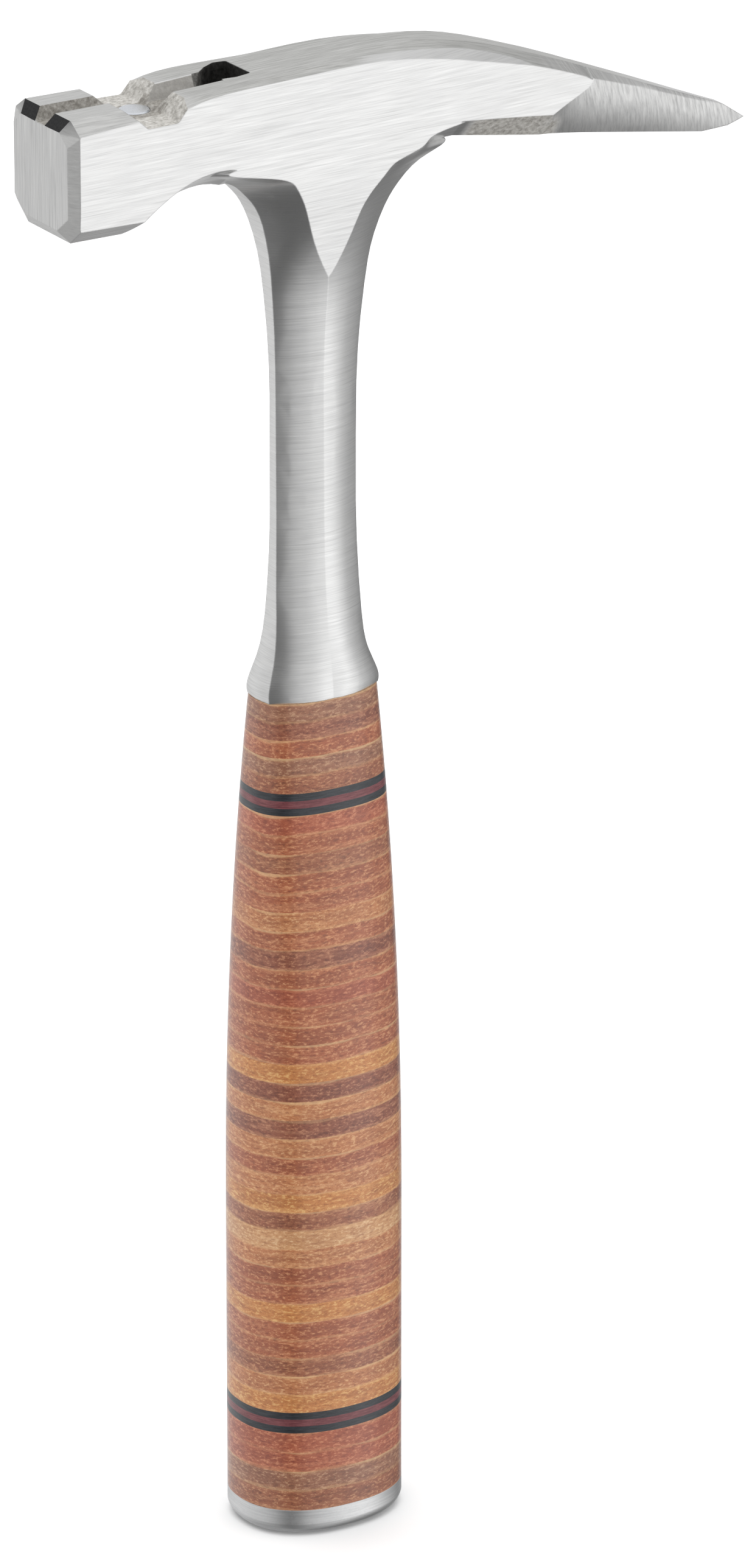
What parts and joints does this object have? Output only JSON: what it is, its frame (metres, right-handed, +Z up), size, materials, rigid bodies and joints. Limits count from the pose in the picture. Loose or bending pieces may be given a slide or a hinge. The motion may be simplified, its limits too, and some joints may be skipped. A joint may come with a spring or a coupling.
{
  "type": "rock hammer",
  "caption": "One-piece steel hammer with a square striking face, a long ground pick point, a magnetic nail trough on top of the head and a stacked-leather grip.",
  "frame": {"origin": "centre of the flat underside of the pommel, on the handle axis", "axes": "+Z up the handle towards the head, -X the way the striking face looks, +X towards the pick point, Y across the head"},
  "size_m": [0.1623, 0.0298, 0.3122],
  "materials": {
    "steel": "ground and brushed forged steel",
    "magnet": "nickel plated disc magnet",
    "pommel": "satin aluminium",
    "fibre_black": "lacquered vulcanised fibre",
    "fibre_red": "lacquered vulcanised fibre",
    "leather": "edge of stacked leather washers, sanded and lacquered"
  },
  "bodies": {
    "root": {"forged_body": "steel", "nail_magnet": "magnet", "pommel": "pommel", "fibre_low_1_black": "fibre_black", "fibre_low_2_red": "fibre_red", "fibre_low_3_black": "fibre_black", "fibre_high_1_black": "fibre_black", "fibre_high_2_red": "fibre_red", "fibre_high_3_black": "fibre_black", "leather_low_01": "leather", "leather_low_02": "leather", "leather_low_03": "leather", "leather_low_04": "leather", "leather_mid_01": "leather", "leather_mid_02": "leather", "leather_mid_03": "leather", "leather_mid_04": "leather", "leather_mid_05": "leather", "leather_mid_06": "leather", "leather_mid_07": "leather", "leather_mid_08": "leather", "leather_mid_09": "leather", "leather_mid_10": "leather", "leather_mid_11": "leather", "leather_mid_12": "leather", "leather_mid_13": "leather", "leather_mid_14": "leather", "leather_mid_15": "leather", "leather_mid_16": "leather", "leather_mid_17": "leather", "leather_mid_18": "leather", "leather_mid_19": "leather", "leather_mid_20": "leather", "leather_mid_21": "leather", "leather_mid_22": "leather", "leather_mid_23": "leather", "leather_mid_24": "leather", "leather_mid_25": "leather", "leather_mid_26": "leather", "leather_mid_27": "leather", "leather_mid_28": "leather", "leather_mid_29": "leather", "leather_mid_30": "leather", "leather_mid_31": "leather", "leather_mid_32": "leather", "leather_high_01": "leather", "leather_high_02": "leather", "leather_high_03": "leather", "leather_high_04": "leather", "leather_high_05": "leather"}
  },
  "joints": []
}
